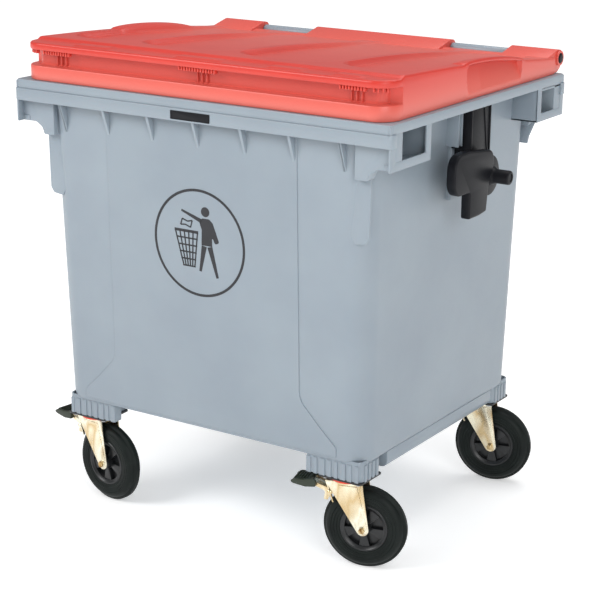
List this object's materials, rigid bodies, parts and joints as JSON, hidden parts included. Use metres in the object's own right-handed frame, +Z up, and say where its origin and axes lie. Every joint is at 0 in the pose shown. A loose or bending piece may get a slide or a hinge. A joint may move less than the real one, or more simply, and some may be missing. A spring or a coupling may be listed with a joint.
{
  "type": "four-wheeled refuse container",
  "caption": "Large moulded refuse container with a hinged flat lid, lifting trunnions on both sides and swivel castors with pedal brakes",
  "frame": {"origin": "on the ground under the middle of the whole container's box", "axes": "+X runs along the container's long side to its right seen from the front, -Y is the front with the nameplate, +Y is the hinge side, +Z is up"},
  "size_m": [1.37, 1.0436, 1.3923],
  "materials": {
    "tub_plastic": "fine-grained injection-moulded polyethylene",
    "lid_plastic": "smooth satin moulded polyethylene",
    "black_plastic": "smooth moulded plastic",
    "black_steel": "black painted pressed steel",
    "plated_steel": "bright zinc plated steel",
    "yellow_zinc": "yellow passivated zinc on pressed steel",
    "seal_plastic": "smooth orange plastic dust ring",
    "hub_plastic": "moulded black polypropylene",
    "tyre_rubber": "solid rubber",
    "pedal_plastic": "dark moulded plastic foot pad"
  },
  "bodies": {
    "container": {"tub": "tub_plastic", "badge": "black_plastic", "hinge_rod": "plated_steel", "rod_cap_left": "black_plastic", "rod_cap_right": "black_plastic", "lifting_arm_left": "black_plastic", "lifting_arm_right": "black_plastic", "trunnion_left": "black_plastic", "trunnion_right": "black_plastic", "trunnion_bolts_left": "plated_steel", "trunnion_bolts_right": "plated_steel", "castor_plate_front_left": "black_steel", "castor_plate_front_right": "black_steel", "castor_plate_rear_left": "black_steel", "castor_plate_rear_right": "black_steel", "castor_bolts_front_left": "plated_steel", "castor_bolts_front_right": "plated_steel", "castor_bolts_rear_left": "plated_steel", "castor_bolts_rear_right": "plated_steel", "kingpin_front_left": "yellow_zinc", "kingpin_front_right": "yellow_zinc", "kingpin_rear_left": "yellow_zinc", "kingpin_rear_right": "yellow_zinc", "dust_ring_front_left": "seal_plastic", "dust_ring_front_right": "seal_plastic", "dust_ring_rear_left": "seal_plastic", "dust_ring_rear_right": "seal_plastic"},
    "lid": {"lid": "lid_plastic"},
    "fork_front_left": {"fork_front_left": "yellow_zinc", "axle_front_left": "yellow_zinc", "brake_pin_front_left": "yellow_zinc"},
    "wheel_front_left": {"hub_front_left": "hub_plastic", "tyre_front_left": "tyre_rubber"},
    "brake_front_left": {"brake_lever_front_left": "yellow_zinc", "brake_pedal_front_left": "pedal_plastic"},
    "fork_front_right": {"fork_front_right": "yellow_zinc", "axle_front_right": "yellow_zinc", "brake_pin_front_right": "yellow_zinc"},
    "wheel_front_right": {"hub_front_right": "hub_plastic", "tyre_front_right": "tyre_rubber"},
    "brake_front_right": {"brake_lever_front_right": "yellow_zinc", "brake_pedal_front_right": "pedal_plastic"},
    "fork_rear_left": {"fork_rear_left": "yellow_zinc", "axle_rear_left": "yellow_zinc"},
    "wheel_rear_left": {"hub_rear_left": "hub_plastic", "tyre_rear_left": "tyre_rubber"},
    "fork_rear_right": {"fork_rear_right": "yellow_zinc", "axle_rear_right": "yellow_zinc"},
    "wheel_rear_right": {"hub_rear_right": "hub_plastic", "tyre_rear_right": "tyre_rubber"}
  },
  "joints": [
    {"name": "lid_hinge", "type": "hinge", "parent": "container", "child": "lid", "pos_m": [0, 0.4968, 1.322], "axis": [-1, 0, 0], "range_deg": [0, 230]},
    {"name": "swivel_front_left", "type": "hinge", "parent": "container", "child": "fork_front_left", "pos_m": [-0.445, -0.3952, 0.25], "axis": [0, 0, 1], "continuous": true},
    {"name": "wheel_spin_front_left", "type": "hinge", "parent": "fork_front_left", "child": "wheel_front_left", "pos_m": [-0.39747, -0.40188, 0.12], "axis": [0.1392, 0.9903, 0], "continuous": true},
    {"name": "brake_front_left", "type": "hinge", "parent": "fork_front_left", "child": "brake_front_left", "pos_m": [-0.49253, -0.38852, 0.219], "axis": [-0.1392, -0.9903, 0], "range_deg": [0, 7]},
    {"name": "swivel_front_right", "type": "hinge", "parent": "container", "child": "fork_front_right", "pos_m": [0.445, -0.3952, 0.25], "axis": [0, 0, 1], "continuous": true},
    {"name": "wheel_spin_front_right", "type": "hinge", "parent": "fork_front_right", "child": "wheel_front_right", "pos_m": [0.49136, -0.38278, 0.12], "axis": [-0.2588, 0.9659, 0], "continuous": true},
    {"name": "brake_front_right", "type": "hinge", "parent": "fork_front_right", "child": "brake_front_right", "pos_m": [0.39864, -0.40762, 0.219], "axis": [0.2588, -0.9659, 0], "range_deg": [0, 7]},
    {"name": "swivel_rear_left", "type": "hinge", "parent": "container", "child": "fork_rear_left", "pos_m": [-0.445, 0.3788, 0.25], "axis": [0, 0, 1], "continuous": true},
    {"name": "wheel_spin_rear_left", "type": "hinge", "parent": "fork_rear_left", "child": "wheel_rear_left", "pos_m": [-0.3999, 0.39522, 0.12], "axis": [-0.342, 0.9397, 0], "continuous": true},
    {"name": "swivel_rear_right", "type": "hinge", "parent": "container", "child": "fork_rear_right", "pos_m": [0.445, 0.3788, 0.25], "axis": [0, 0, 1], "continuous": true},
    {"name": "wheel_spin_rear_right", "type": "hinge", "parent": "fork_rear_right", "child": "wheel_rear_right", "pos_m": [0.49195, 0.38878, 0.12], "axis": [-0.2079, 0.9781, 0], "continuous": true}
  ]
}
